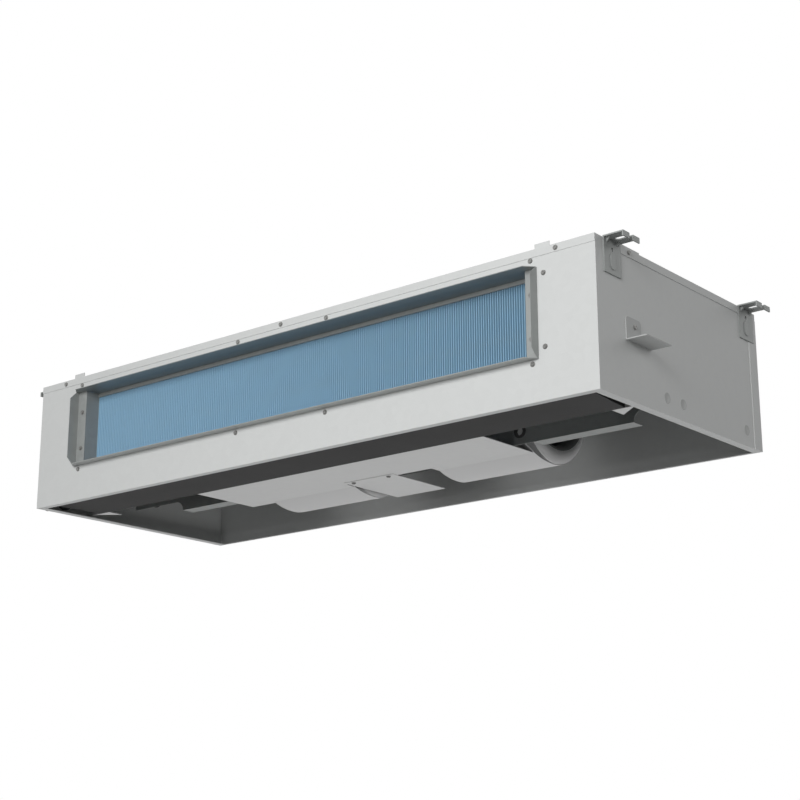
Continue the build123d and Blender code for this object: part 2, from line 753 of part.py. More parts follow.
with BuildPart() as wheel_disc:
    with BuildSketch(Plane.YZ) as disc:
        RegularPolygon(radius=wheel_r, side_count=blade_count)
    extrude(disc.sketch, amount=disc_thick / 2, both=True)
    prism((-hub_length / 2, 0, 0), (hub_length / 2, 0, 0), hub_r, hub_sides)
    bar((-hub_length / 2, 0, 0), (hub_length / 2, 0, 0), shaft_r, mode=Mode.SUBTRACT)

for end, x in (("left", -fan_offset), ("right", fan_offset)):
    wheel_place = Location((x, fan_y, fan_z))
    keep(wheel_blades.part.moved(wheel_place), f"wheel_blades_{end}")
    keep(wheel_rims.part.moved(wheel_place), f"wheel_rims_{end}")
    keep(wheel_disc.part.moved(wheel_place), f"wheel_disc_{end}")

# One shaft runs through the motor and both wheels
with BuildPart() as fan_shaft:
    shaft_end = fan_offset + shaft_over
    bar((-shaft_end, fan_y, fan_z), (shaft_end, fan_y, fan_z), shaft_r)
keep(fan_shaft.part, "fan_shaft")

# The motor housing has a bearing boss at each end, with a rubber ring on it
body_end = motor_length / 2
boss_end = body_end + boss_length
with BuildPart() as motor_housing:
    bar((-body_end, fan_y, fan_z), (body_end, fan_y, fan_z), motor_r)
    prism((-boss_end, fan_y, fan_z), (boss_end, fan_y, fan_z), boss_r, ring_sides)
    bar((-boss_end, fan_y, fan_z), (boss_end, fan_y, fan_z), shaft_r + running_fit, mode=Mode.SUBTRACT)
keep(motor_housing.part, "motor_housing")

ring_r = boss_r + ring_thick
ring_x = body_end + ring_inset
with BuildPart() as rubber_rings:
    for x in (-ring_x - ring_width, ring_x):
        with BuildSketch(Plane(origin=(x, fan_y, fan_z), x_dir=(0, 1, 0), z_dir=(1, 0, 0))) as ring:
            RegularPolygon(ring_r, ring_sides)
            RegularPolygon(boss_r, ring_sides, major_radius=False, mode=Mode.SUBTRACT)
        extrude(ring.sketch, amount=ring_width)
keep(rubber_rings.part, "motor_rubber_rings")

# The motor bracket is a shelf on the partition with two cradles
shelf_z = rim + motor_shelf_height
clamp_y = ring_r + clamp_thick + clamp_ear
cradle_x = ring_x + (ring_width - cradle_width) / 2
cradle_places = (-cradle_x - cradle_width, cradle_x)
with BuildPart() as motor_bracket:
    plate_back = partition_rear + bracket_thick
    bracket_line = [(fan_y + clamp_y, shelf_z), (plate_back, shelf_z), (plate_back, fan_z)]
    extrude(folded(Plane.YZ, bracket_line, bracket_thick), amount=bracket_half, both=True)
    for x in cradle_places:
        block((x, fan_y - clamp_y, shelf_z), (x + cradle_width, fan_y + clamp_y, fan_z))
        with BuildSketch(Plane.YZ.offset(x)) as seat:
            with Locations((fan_y, fan_z)):
                RegularPolygon(radius=ring_r, side_count=ring_sides)
        extrude(seat.sketch, amount=cradle_width, mode=Mode.SUBTRACT)
keep(motor_bracket.part, "motor_bracket")

# A strap with an ear at each side holds each ring down in its cradle
with BuildPart() as motor_clamps:
    for x in cradle_places:
        with BuildSketch(Plane.YZ.offset(x)) as strap:
            with Locations((fan_y, fan_z)):
                RegularPolygon(radius=ring_r + clamp_thick, side_count=ring_sides)
                Rectangle(2 * clamp_y, clamp_thick, align=(Align.CENTER, Align.MIN))
                RegularPolygon(radius=ring_r, side_count=ring_sides, mode=Mode.SUBTRACT)
                Rectangle(2 * clamp_y, clamp_y, align=(Align.CENTER, Align.MAX), mode=Mode.SUBTRACT)
        extrude(strap.sketch, amount=cradle_width)
keep(motor_clamps.part, "motor_clamps")

# The electrical box is a tray on the left panel with pillars for its board
box_out = -side_face - box_depth
tray_x = -side_face - sheet
board_x = tray_x - pillar_height
board_from = (board_x - board_thick, box_front + board_margin, box_low + board_bottom)
board_to = (board_x, box_back - board_margin, box_high - board_margin)
with BuildPart() as electric_box:
    block((box_out, box_front, box_low), (-side_face, box_back, box_high))
    inside_high = (tray_x, box_back - sheet, box_high - sheet)
    block((box_out, box_front + sheet, box_low + sheet), inside_high, mode=Mode.SUBTRACT)
    bar((-side_face, cable_y, cable_z), (tray_x, cable_y, cable_z), cable_hole_r, mode=Mode.SUBTRACT)
    for y in (board_from[1], board_to[1] - pillar_width):
        for z in (board_from[2], board_to[2] - pillar_width):
            block((board_x, y, z), (tray_x, y + pillar_width, z + pillar_width))
keep(electric_box.part, "electric_box")

with BuildPart() as box_cover:
    lid_out = box_out - sheet
    lid_in = box_out + lid_lip
    block((lid_out, box_front - sheet, box_low - sheet), (lid_in, box_back + sheet, box_high + sheet))
    block((box_out, box_front, box_low), (lid_in, box_back, box_high), mode=Mode.SUBTRACT)
keep(box_cover.part, "electric_box_cover")

with BuildPart() as control_board:
    block(board_from, board_to)
keep(control_board.part, "control_board")

with BuildPart() as terminal_block:
    terminal_y = box_front + board_margin
    terminal_z = box_low + board_margin / 2
    terminal_high = (tray_x, terminal_y + terminal_length, terminal_z + terminal_height)
    block((tray_x - terminal_depth, terminal_y, terminal_z), terminal_high)
    pocket = terminal_length / terminal_slots
    pocket_x = tray_x - terminal_depth + terminal_slot_depth / 2
    with Locations((pocket_x, terminal_y + terminal_length / 2, terminal_high[2])):
        with GridLocations(1, pocket, 1, terminal_slots):
            Box(terminal_slot_depth, pocket - terminal_rib, terminal_height, mode=Mode.SUBTRACT)
keep(terminal_block.part, "terminal_block")

# Screws, grouped by where they sit
with BuildPart() as outlet_screws:
    rows = (outlet_high + outlet_screw_out, outlet_low - outlet_screw_under)
    screw_end = outlet_half - outlet_screw_inset
    across = (-screw_end, -outlet_screw_middle, outlet_screw_middle, screw_end)
    screw_heads([(x, front_face, z) for x in across for z in rows], (0, -1, 0))
    edge_x = outlet_half + outlet_screw_out
    edges = [(x, front_face, rim + z) for x in (-edge_x, edge_x) for z in outlet_side_screws]
    screw_heads(edges, (0, -1, 0))
keep(outlet_screws.part, "outlet_screws")

with BuildPart() as casing_screws:
    strip_x = (-strip_screw_spread, 0, strip_screw_spread)
    screw_heads([(x, front, -strip_screw_drop) for x in strip_x], (0, -1, 0))
    for side in (-1, 1):
        screw_heads([(side * half, front + lug_screw_setback, -lug_screw_drop)], (side, 0, 0))
        end_x = side * (web_x + end_screw_offset)
        screw_heads([(end_x, leg_back, rim + z) for z in end_screw_heights], (0, -1, 0))
    screw_heads([(ear_out, front + bracket_screw_setback, rim + bracket_screw_height)], (1, 0, 0))
    cover_screws = (cover_x + cover_screw_inset, cover_x + cover_width - cover_screw_inset)
    screw_heads([(x, cover_y + cover_screw_setback, cover_low) for x in cover_screws], (0, 0, -1))
    ear_y = clamp_y - clamp_ear / 2
    clamp_x = cradle_x + cradle_width / 2
    clamp_screws = [(x, fan_y + y) for x in (-clamp_x, clamp_x) for y in (-ear_y, ear_y)]
    screw_heads([(x, y, fan_z + clamp_thick) for x, y in clamp_screws], (0, 0, 1))
keep(casing_screws.part, "casing_screws")
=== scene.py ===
"""Finishes, fine pieces, light and camera for a ceiling-mount air handler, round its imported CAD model."""

import logging
import math
from dataclasses import dataclass
from enum import Enum
from typing import Any, Iterable, Optional, Sequence, Union

import bmesh
import bpy
import numpy as np
from mathutils import Matrix, Vector


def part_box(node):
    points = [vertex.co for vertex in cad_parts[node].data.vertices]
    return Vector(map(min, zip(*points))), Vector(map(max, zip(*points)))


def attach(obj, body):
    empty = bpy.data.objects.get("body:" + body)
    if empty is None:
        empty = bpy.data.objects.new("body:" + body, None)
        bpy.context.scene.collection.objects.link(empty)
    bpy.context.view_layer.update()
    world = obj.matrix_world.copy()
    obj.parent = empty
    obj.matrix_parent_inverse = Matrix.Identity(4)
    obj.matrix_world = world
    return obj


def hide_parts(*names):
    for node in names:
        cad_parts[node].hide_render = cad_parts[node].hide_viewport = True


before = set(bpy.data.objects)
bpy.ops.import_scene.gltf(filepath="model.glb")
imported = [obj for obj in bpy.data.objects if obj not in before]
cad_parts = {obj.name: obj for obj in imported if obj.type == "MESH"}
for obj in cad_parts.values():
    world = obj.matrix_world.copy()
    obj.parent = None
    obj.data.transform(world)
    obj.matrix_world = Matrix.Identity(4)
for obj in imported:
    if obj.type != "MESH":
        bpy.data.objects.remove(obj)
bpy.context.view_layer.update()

Array = np.ndarray
Colour = tuple[float, float, float]
Point = tuple[float, float, float]
Pair = tuple[float, float]
Sockets = dict[Union[int, str], Any]
LOG = logging.getLogger("air_handler")
FULL_TURN = 2 * math.pi
QUARTER_TURN = math.pi / 2
POLE_RADIUS = 1e-5


class Body(Enum):
    """The CAD bodies that pieces ride on."""

    CASING = "casing"
    ROTOR = "rotor"


class Wire:
    """A shader value. Arithmetic on it adds Math nodes to its shader."""

    def __init__(self, shader: "Shader", socket: bpy.types.NodeSocket) -> None:
        """Keep a socket and the shader that it belongs to.

        Args:
            shader: The shader whose tree holds the socket.
            socket: The output socket that carries the value.
        """
        self.shader = shader
        self.socket = socket

    def _math(self, operation: str, first: Any, second: Any) -> "Wire":
        """Add one Math node.

        Args:
            operation: The node's operation.
            first: A number or a Wire.
            second: A number or a Wire.

        Returns:
            The result as a Wire.
        """
        node = self.shader.node("ShaderNodeMath", {"operation": operation}, {0: first, 1: second})
        return Wire(self.shader, node.outputs[0])

    def __add__(self, other: Any) -> "Wire":
        """Self plus other."""
        return self._math("ADD", self, other)

    def __radd__(self, other: Any) -> "Wire":
        """Other plus self."""
        return self._math("ADD", other, self)

    def __sub__(self, other: Any) -> "Wire":
        """Self minus other."""
        return self._math("SUBTRACT", self, other)

    def __rsub__(self, other: Any) -> "Wire":
        """Other minus self."""
        return self._math("SUBTRACT", other, self)

    def __mul__(self, other: Any) -> "Wire":
        """Self times other."""
        return self._math("MULTIPLY", self, other)

    def __rmul__(self, other: Any) -> "Wire":
        """Other times self."""
        return self._math("MULTIPLY", other, self)

    def above(self, limit: float) -> "Wire":
        """1 where the value is above a limit, 0 elsewhere."""
        return self._math("GREATER_THAN", self, limit)

    def either(self, other: "Wire") -> "Wire":
        """The larger of two values."""
        return self._math("MAXIMUM", self, other)


class Shader:
    """The node tree of a material or of the world."""

    def __init__(self, owner: Union[bpy.types.Material, bpy.types.World]) -> None:
        """Empty the owner's tree.

        Args:
            owner: The material or world.
        """
        owner.use_nodes = True
        self.owner = owner
        self.tree = owner.node_tree
        self.tree.nodes.clear()

    def node(self, kind: str, settings: dict[str, Any], sockets: Sockets) -> bpy.types.Node:
        """Add a node of any type.

        Args:
            kind: The node's type.
            settings: Its own settings, set first.
            sockets: Values or Wires for its input sockets, by name or number.

        Returns:
            The node.
        """
        made = self.tree.nodes.new(kind)
        for key, value in settings.items():
            setattr(made, key, value)
        self.feed(made, sockets)
        return made

    def feed(self, target: bpy.types.Node, sockets: Sockets) -> None:
        """Link Wires to a node's inputs, or set the inputs to plain values.

        Args:
            target: The node.
            sockets: Values or Wires for its input sockets, by name or number.
        """
        for key, value in sockets.items():
            if isinstance(value, Wire):
                self.tree.links.new(value.socket, target.inputs[key])
            else:
                target.inputs[key].default_value = value


class Surface(Shader):
    """A material with a Principled surface and Object coordinates."""

    def __init__(self, name: str) -> None:
        """Start an empty material.

        Args:
            name: The material's name.
        """
        super().__init__(bpy.data.materials.new(name))
        self.surface = self.node("ShaderNodeBsdfPrincipled", {}, {})
        self.node("ShaderNodeOutputMaterial", {}, {0: Wire(self, self.surface.outputs[0])})
        self.where = Wire(self, self.node("ShaderNodeTexCoord", {}, {}).outputs["Object"])

    def stretched(self, scale: Point) -> Wire:
        """Object coordinates scaled along each axis."""
        mapping = self.node("ShaderNodeMapping", {}, {"Vector": self.where, "Scale": scale})
        return Wire(self, mapping.outputs[0])

    def noise(self, scale: float, detail: float, where: Optional[Wire] = None) -> Wire:
        """Smooth noise from 0 to 1.

        Args:
            scale: Cells per metre.
            detail: Number of finer layers.
            where: Coordinates, the object's own if left out.

        Returns:
            The noise value.
        """
        sockets = {"Vector": where or self.where, "Scale": scale, "Detail": detail}
        return Wire(self, self.node("ShaderNodeTexNoise", {}, sockets).outputs[0])

    def cells(self, scale: float, where: Optional[Wire] = None) -> Wire:
        """A random value from 0 to 1 that is constant over each crystal-like cell.

        Args:
            scale: Cells per metre.
            where: Coordinates, the object's own if left out.

        Returns:
            The cells' value.
        """
        cell = self.node("ShaderNodeTexVoronoi", {}, {"Vector": where or self.where, "Scale": scale})
        parts = self.node("ShaderNodeSeparateColor", {}, {"Color": Wire(self, cell.outputs["Color"])})
        return Wire(self, parts.outputs[0])

    def pores(self, scale: float) -> Wire:
        """Distance from the nearest of many scattered points, for bubbles."""
        cell = self.node("ShaderNodeTexVoronoi", {}, {"Vector": self.where, "Scale": scale})
        return Wire(self, cell.outputs["Distance"])

    def blend(self, share: Wire, low: Colour, high: Colour) -> Wire:
        """A colour between two others.

        Args:
            share: 0 for the first colour, 1 for the second.
            low: The first colour.
            high: The second colour.

        Returns:
            The blended colour.
        """
        settings = {"data_type": "RGBA", "clamp_factor": True}
        mixed = self.node("ShaderNodeMix", settings, {0: share, 6: (*low, 1.0), 7: (*high, 1.0)})
        return Wire(self, mixed.outputs[2])

    def relief(self, height: Wire, depth: float) -> Wire:
        """The normal bent by a height pattern, with depth the metres between heights 0 and 1."""
        bump = self.node("ShaderNodeBump", {}, {"Height": height, "Distance": depth, "Strength": 1.0})
        return Wire(self, bump.outputs[0])


@dataclass(frozen=True)
class Finish:
    """A finish that varies softly over the surface, such as a moulded or coated one."""

    name: str
    slot: str
    tone: Colour
    roughness: float
    metallic: float = 0.0
    variation: float = 0.06
    patch: float = 18.0
    grain: float = 900.0
    grain_depth: float = 0.00002
    patch_share: float = 0.7
    roughness_spread: float = 0.12

    def material(self) -> bpy.types.Material:
        """The finish's material, made once."""
        found = bpy.data.materials.get(self.name)
        if found:
            return found
        shader = Surface(self.name)
        self.dress(shader)
        return shader.owner

    def tones(self) -> tuple[Colour, Colour]:
        """The finish's tone made darker and lighter by its variation."""
        low, high = (
            tuple(min(1.0, channel * factor) for channel in self.tone)
            for factor in (1 - self.variation, 1 + self.variation)
        )
        return low, high

    def dress(self, shader: Surface) -> None:
        """Lay soft patches of tone and a fine grain on the surface.

        Args:
            shader: The material to dress.
        """
        patches = shader.noise(self.patch, detail=4.0)
        grain = shader.noise(self.grain, detail=2.0)
        share = patches * self.patch_share + grain * (1 - self.patch_share)
        shader.feed(shader.surface, {
            "Base Color": shader.blend(share, *self.tones()),
            "Roughness": patches * self.roughness_spread + (self.roughness - self.roughness_spread / 2),
            "Metallic": self.metallic,
            "Normal": shader.relief(grain, self.grain_depth),
        })


@dataclass(frozen=True)
class GalvanisedSheet(Finish):
    """Zinc-coated sheet: faint crystals, fine rolling streaks along the width and a satin gloss."""

    patch: float = 3.0
    crystal: float = 95.0
    streak: Point = (6.0, 420.0, 420.0)
    crystal_share: float = 0.5
    streak_share: float = 0.5
    cloud_share: float = 0.8
    crystal_spread: float = 0.06
    cloud_spread: float = 0.10

    def dress(self, shader: Surface) -> None:
        """Lay crystals, streaks and wide cloudy patches on the sheet.

        Args:
            shader: The material to dress.
        """
        crystals = shader.cells(self.crystal)
        streaks = shader.noise(1.0, detail=3.0, where=shader.stretched(self.streak))
        clouds = shader.noise(self.patch, detail=3.0)
        share = 0.5 + (crystals - 0.5) * self.crystal_share + (streaks - 0.5) * self.streak_share
        share = share + (clouds - 0.5) * self.cloud_share
        smoothest = self.roughness - (self.crystal_spread + self.cloud_spread) / 2
        shader.feed(shader.surface, {
            "Base Color": shader.blend(share, *self.tones()),
            "Roughness": clouds * self.cloud_spread + crystals * self.crystal_spread + smoothest,
            "Metallic": self.metallic,
            "Normal": shader.relief(streaks, self.grain_depth),
        })


@dataclass(frozen=True)
class CellFoam(Finish):
    """Closed-cell foam board with a fine skin of burst bubbles."""

    patch_share: float = 0.5
    bubble_share: float = 0.6

    def dress(self, shader: Surface) -> None:
        """Lay bubbles and soft patches on the board.

        Args:
            shader: The material to dress.
        """
        bubbles = shader.pores(self.grain)
        patches = shader.noise(self.patch, detail=3.0)
        share = bubbles * self.bubble_share + patches * self.patch_share
        shader.feed(shader.surface, {
            "Base Color": shader.blend(share, *self.tones()),
            "Roughness": self.roughness,
            "Normal": shader.relief(bubbles, self.grain_depth),
        })


@dataclass(frozen=True)
class PrintedBoard(Finish):
    """A circuit board: green lacquer over straight copper tracks."""

    track: Colour = (0.16, 0.42, 0.22)
    track_cells: float = 220.0
    track_stretch: float = 0.15
    across_limit: float = 0.72
    along_limit: float = 0.78
    track_share: float = 0.6
    track_depth: float = 0.00005

    def dress(self, shader: Surface) -> None:
        """Lay tracks along both directions of the board.

        Args:
            shader: The material to dress.
        """
        across = shader.cells(self.track_cells, shader.stretched((1.0, self.track_stretch, 1.0)))
        along = shader.cells(self.track_cells, shader.stretched((1.0, 1.0, self.track_stretch)))
        tracks = across.above(self.across_limit) * self.track_share
        tracks = tracks + along.above(self.along_limit) * self.track_share
        shader.feed(shader.surface, {
            "Base Color": shader.blend(tracks, self.tone, self.track),
            "Roughness": self.roughness,
            "Normal": shader.relief(tracks, self.track_depth),
        })


STEEL = GalvanisedSheet(
    "galvanised_sheet", "steel", (0.610, 0.622, 0.616),
    roughness=0.46, variation=0.025, grain_depth=0.000008,
)
# Painted shade: the same galvanised sheet made darker, standing in for the shade on the duct flanges, coil
# end plates, baffle, partition, hangers, motor bracket and clamps inside the casing.
SHADED_STEEL = GalvanisedSheet(
    "shaded_sheet", "steel", (0.330, 0.345, 0.338), roughness=0.42, metallic=0.15, grain_depth=0.000012,
)
PALE_STEEL = GalvanisedSheet(
    "pale_sheet", "steel", (0.700, 0.705, 0.702), roughness=0.50, variation=0.03, grain_depth=0.000012,
)
# Partly painted shade: the same galvanised sheet at a tone between the lit panels and the shaded copy, so
# that the side bracket's undersides read as shaded; the knock-outs wear it too, darker than the panel round
# them.
PART_SHADED_STEEL = GalvanisedSheet(
    "part_shaded_sheet", "steel", (0.460, 0.470, 0.465), roughness=0.50, variation=0.04, grain_depth=0.000008,
)
ZINC = Finish(
    "zinc_plate", "zinc", (0.30, 0.30, 0.29), roughness=0.42, metallic=0.6, variation=0.10, patch=300.0,
)
FOAM = CellFoam(
    "foam_board", "foam", (0.085, 0.090, 0.095),
    roughness=0.85, variation=0.25, patch=12.0, grain=700.0, grain_depth=0.0002,
)
FIN_COAT = Finish(
    "fin_coating", "fins", (0.385, 0.625, 0.800), roughness=0.42, patch=25.0, grain=1500.0,
)
COPPER = Finish(
    "copper_tube", "copper", (0.720, 0.370, 0.230),
    roughness=0.32, metallic=0.95, variation=0.16, patch=60.0, grain=1500.0,
)
BRASS = Finish(
    "brass_nut", "brass", (0.740, 0.560, 0.270),
    roughness=0.30, metallic=0.95, variation=0.10, patch=90.0, grain=1500.0,
)
PAN = Finish(
    "pan_moulding", "pan", (0.036, 0.036, 0.036),
    roughness=0.62, variation=0.10, patch=14.0, grain=1800.0, grain_depth=0.00004,
)
HOUSING = Finish(
    "housing_moulding", "housing", (0.700, 0.702, 0.702),
    roughness=0.48, variation=0.02, patch=9.0, grain=1600.0,
)
# Painted light: the housing moulding made lighter, standing in for the light that falls on the collars round
# the inlets.
LIT_INLET = Finish(
    "lit_inlet_moulding", "housing", (0.800, 0.802, 0.802),
    roughness=0.48, variation=0.02, patch=9.0, grain=1600.0,
)
# Painted shade: the housing moulding made dark, standing in for the shade inside the inlet bells toward the
# wheels.
SHADED_BELL = Finish(
    "shaded_bell_moulding", "housing", (0.230, 0.232, 0.234),
    roughness=0.50, variation=0.04, patch=9.0, grain=1600.0,
)
WHEEL = Finish(
    "wheel_moulding", "wheel", (0.055, 0.055, 0.060),
    roughness=0.50, variation=0.12, patch=30.0, grain=1600.0,
)
SHAFT = Finish(
    "ground_shaft", "shaft", (0.62, 0.62, 0.63), roughness=0.22, metallic=1.0, variation=0.05, patch=80.0,
)
MOTOR = Finish(
    "motor_paint", "motor", (0.120, 0.125, 0.130), roughness=0.45, metallic=0.2, variation=0.10, patch=40.0,
)
RUBBER = Finish(
    "rubber", "rubber", (0.030, 0.030, 0.030),
    roughness=0.80, variation=0.15, patch=60.0, grain=1200.0, grain_depth=0.00005,
)
BOARD = PrintedBoard("printed_board", "board", (0.030, 0.170, 0.075), roughness=0.35)
TERMINAL = Finish(
    "terminal_moulding", "terminal", (0.70, 0.69, 0.62), roughness=0.45, variation=0.04, patch=60.0,
)


def turned(profile: Array, centre: Point, sides: int) -> Array:
    """A surface of revolution about an axis along X.

    Each point of the profile is a distance along the axis and a radius. It is carried round the axis in
    equal steps: y is the radius times the cosine of the angle, and z is the radius times its sine.

    Args:
        profile: An array of points by 2.
        centre: A point on the axis.
        sides: Number of steps in a full turn.

    Returns:
        A grid of profile points by steps by 3.
    """
    angles = np.linspace(0, FULL_TURN, sides, endpoint=False)[None, :]
    along = profile[:, 0:1] + 0 * angles
    radius = profile[:, 1:2]
    return np.stack([along, radius * np.cos(angles), radius * np.sin(angles)], -1) + np.array(centre)


def piped(path: Array, radius: float, sides: int) -> Array:
    """A round tube along a level path.

    At each path point the section is a circle spanned by the upward direction and the level direction
    square to the path's tangent.

    Args:
        path: An array of points by 3, all at one height.
        radius: The tube's radius.
        sides: Number of points round the tube.

    Returns:
        A grid of path points by sides by 3.
    """
    tangent = np.gradient(path, axis=0)
    tangent /= np.linalg.norm(tangent, axis=1, keepdims=True)
    upward = np.array((0.0, 0.0, 1.0))
    side = np.cross(tangent, upward)
    angles = np.linspace(0, FULL_TURN, sides, endpoint=False)
    circle = np.cos(angles)[None, :, None] * side[:, None, :] + np.sin(angles)[None, :, None] * upward
    return path[:, None, :] + radius * circle


def rounded(points: Sequence[Pair], radius: float, steps: int, closed: bool = False) -> Array:
    """A line of straight runs whose corners are rounded.

    Each corner becomes a curve whose points are the weighted means of where it leaves one run, the corner
    itself and where it joins the next, with weights (1-t) squared, 2t(1-t) and t squared.

    Args:
        points: The corners in order.
        radius: How far from each corner the curve starts.
        steps: Number of segments in a curve.
        closed: Whether the last point joins the first.

    Returns:
        An array of points by 2.
    """
    line = np.array(points, float)

    def toward(target: Array) -> Array:
        """Points on the runs toward neighbouring corners, a radius away or half-way on a short run.

        Args:
            target: The neighbouring corner of each corner.

        Returns:
            One point for each corner.
        """
        run = target - line
        length = np.linalg.norm(run, axis=1, keepdims=True)
        return line + run * np.minimum(radius / np.maximum(length, 1e-12), 0.5)

    leave = toward(np.roll(line, 1, axis=0))[:, None, :]
    join = toward(np.roll(line, -1, axis=0))[:, None, :]
    t = np.linspace(0, 1, steps + 1)[None, :, None]
    curves = (1 - t) ** 2 * leave + 2 * t * (1 - t) * line[:, None, :] + t ** 2 * join
    if closed:
        return curves.reshape(-1, 2)
    return np.concatenate([line[:1], curves[1:-1].reshape(-1, 2), line[-1:]])


def mirrored(half: Sequence[Pair]) -> list[Pair]:
    """A half profile, followed by its mirror image in reverse order, so that the two make one line."""
    return [*half, *((-along, radius) for along, radius in reversed(half))]


class Stock:
    """Points and faces gathered for one mesh."""

    def __init__(self) -> None:
        """Start with no points."""
        self.points: list[Array] = []
        self.faces: list[list[int]] = []
        self.count = 0

    def add(self, points: Array, faces: Iterable[Sequence[int]]) -> None:
        """Add points and the faces between them.

        Args:
            points: An array whose last axis is x, y and z.
            faces: The corners of each face, numbered from the first of these points.
        """
        start = self.count
        self.points.append(points.reshape(-1, 3))
        self.faces.extend((np.asarray(face) + start).tolist() for face in faces)
        self.count += points.size // 3

    def grid(self, points: Array, wrap_rows: bool = False, wrap_columns: bool = False) -> None:
        """Add a surface given as a grid of points.

        Neighbouring points of the grid are joined by quads. A wrapped direction is joined to its start.

        Args:
            points: An array of rows by columns by 3.
            wrap_rows: Whether the last row joins the first.
            wrap_columns: Whether the last column joins the first.
        """
        rows, columns = points.shape[:2]
        down = np.arange(rows if wrap_rows else rows - 1)[:, None]
        across = np.arange(columns if wrap_columns else columns - 1)[None, :]
        below = (down + 1) % rows
        beside = (across + 1) % columns
        corners = [
            row * columns + column
            for row, column in ((down, across), (down, beside), (below, beside), (below, across))
        ]
        self.add(points, np.stack(corners, -1).reshape(-1, 4))

    def bar(self, sections: Array) -> None:
        """Add a solid given as closed sections one after another, with flat ends.

        Args:
            sections: An array of sections by points round each by 3.
        """
        start = self.count
        self.grid(sections, wrap_columns=True)
        around = sections.shape[1]
        last = start + (sections.shape[0] - 1) * around
        self.faces.append(list(range(start, start + around)))
        self.faces.append(list(range(last, last + around))[::-1])

    def ring(self, section: Array, centre: Point, sides: int) -> None:
        """Add a closed section turned about an axis along X."""
        self.grid(turned(section, centre, sides), wrap_rows=True, wrap_columns=True)


def group_boxes(node: str, reach: float) -> list[tuple[Array, Array]]:
    """The boxes of groups of a CAD node's points, such as its separate solids.

    Args:
        node: The node's name.
        reach: How near points lie to the first point of the group that they join.

    Returns:
        The lowest and highest corner of each group.
    """
    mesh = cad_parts[node].data
    points = np.zeros(len(mesh.vertices) * 3)
    mesh.vertices.foreach_get("co", points)
    points = points.reshape(-1, 3)
    found = []
    while len(points):
        near = np.linalg.norm(points - points[0], axis=1) < reach
        found.append((points[near].min(0), points[near].max(0)))
        points = points[~near]
    return found


def make_piece(
    name: str,
    stock: Stock,
    finish: Finish,
    body: Body = Body.CASING,
    stands_for: Sequence[str] = (),
    smooth_degrees: float = 40.0,
) -> None:
    """Make a piece of the gathered surfaces and put it on its body.

    Args:
        name: The piece's name.
        stock: Its points and faces.
        finish: Its finish.
        body: The CAD body that it rides on.
        stands_for: CAD nodes that it replaces.
        smooth_degrees: Edges sharper than this stay sharp.
    """
    mesh = bpy.data.meshes.new(name)
    mesh.from_pydata(np.concatenate(stock.points), [], stock.faces)
    work = bmesh.new()
    work.from_mesh(mesh)
    bmesh.ops.recalc_face_normals(work, faces=work.faces)
    work.to_mesh(mesh)
    work.free()
    mesh.polygons.foreach_set("use_smooth", np.ones(len(mesh.polygons), bool))
    mesh.set_sharp_from_angle(angle=math.radians(smooth_degrees))
    mesh.materials.append(finish.material())
    piece = bpy.data.objects.new(name, mesh)
    bpy.context.scene.collection.objects.link(piece)
    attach(piece, body.value)
    if stands_for:
        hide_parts(*stands_for)
    LOG.info("%s: %d faces on %s", name, len(mesh.polygons), body.value)


def wear(finish: Finish, *nodes: str) -> None:
    """Give carried-over CAD nodes a finish.

    Args:
        finish: The finish.
        *nodes: The nodes' names.
    """
    for node in nodes:
        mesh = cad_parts[node].data
        mesh.materials.clear()
        mesh.materials.append(finish.material())
        LOG.info("%s: %s", node, finish.name)


class SubAssembly:
    """A part of the unit, which dresses CAD nodes and builds pieces of its own."""

    def dress(self) -> None:
        """Give the part's CAD nodes their finish. A part without such nodes keeps this empty method."""

    def build(self) -> None:
        """Build the part's own pieces. A part without any keeps this empty method."""


@dataclass
class Casing(SubAssembly):
    """The sheet-metal casing with what hangs on it.

    Each point of a knock-out's profile is its height over the panel and its distance in from the edge.
    """

    skins: tuple[str, ...] = (
        "top_panel", "front_panel", "right_panel", "left_panel", "rear_panel", "electric_box",
        "electric_box_cover",
    )
    fittings: tuple[str, ...] = (
        "duct_flange_top", "duct_flange_bottom", "duct_flange_left", "duct_flange_right", "hangers_front",
        "hangers_rear", "coil_end_plate_left", "coil_end_plate_right", "coil_baffle", "partition_plate",
        "motor_bracket", "motor_clamps",
    )
    plates: tuple[str, ...] = ("deck_plate", "motor_cover", "pan_bracket_left", "pan_bracket_right")
    knockout_radius: float = 0.008
    knockout_profile: tuple[Pair, ...] = (
        (-0.0005, 0.0), (0.0002, 0.0), (0.0004, 0.0004), (0.0004, 0.0012), (0.0001, 0.0018),
    )
    knockout_height: float = -0.195
    knockout_places: tuple[float, ...] = (-0.056, -0.012, 0.174)

    def dress(self) -> None:
        """Give the sheet nodes their finish."""
        wear(STEEL, *self.skins)
        # The fittings wear the darker copy of the sheet, which is painted shade.
        wear(SHADED_STEEL, *self.fittings)
        wear(PALE_STEEL, *self.plates)
        # The side bracket wears the part-shaded copy of the sheet: painted shade.
        wear(PART_SHADED_STEEL, "side_bracket")

    def build(self) -> None:
        """Press the round knock-outs of the right-hand side panel."""
        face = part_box("right_panel")[1].x
        stock = Stock()
        profile = np.array([(rise, self.knockout_radius - inset) for rise, inset in self.knockout_profile])
        for place in self.knockout_places:
            stock.bar(turned(profile, (face, place, self.knockout_height), sides=40))
        # The knock-outs wear the part-shaded copy of the sheet, darker than the panel round them: painted
        # shade.
        make_piece("knockouts", stock, PART_SHADED_STEEL)


@dataclass
class Insulation(SubAssembly):
    """Foam boards and rubber bushings."""

    boards: tuple[str, ...] = ("top_foam", "side_foam_left", "side_foam_right")
    rubbers: tuple[str, ...] = ("motor_rubber_rings", "cable_grommets")

    def dress(self) -> None:
        """Give the boards and bushings their finish."""
        wear(FOAM, *self.boards)
        wear(RUBBER, *self.rubbers)


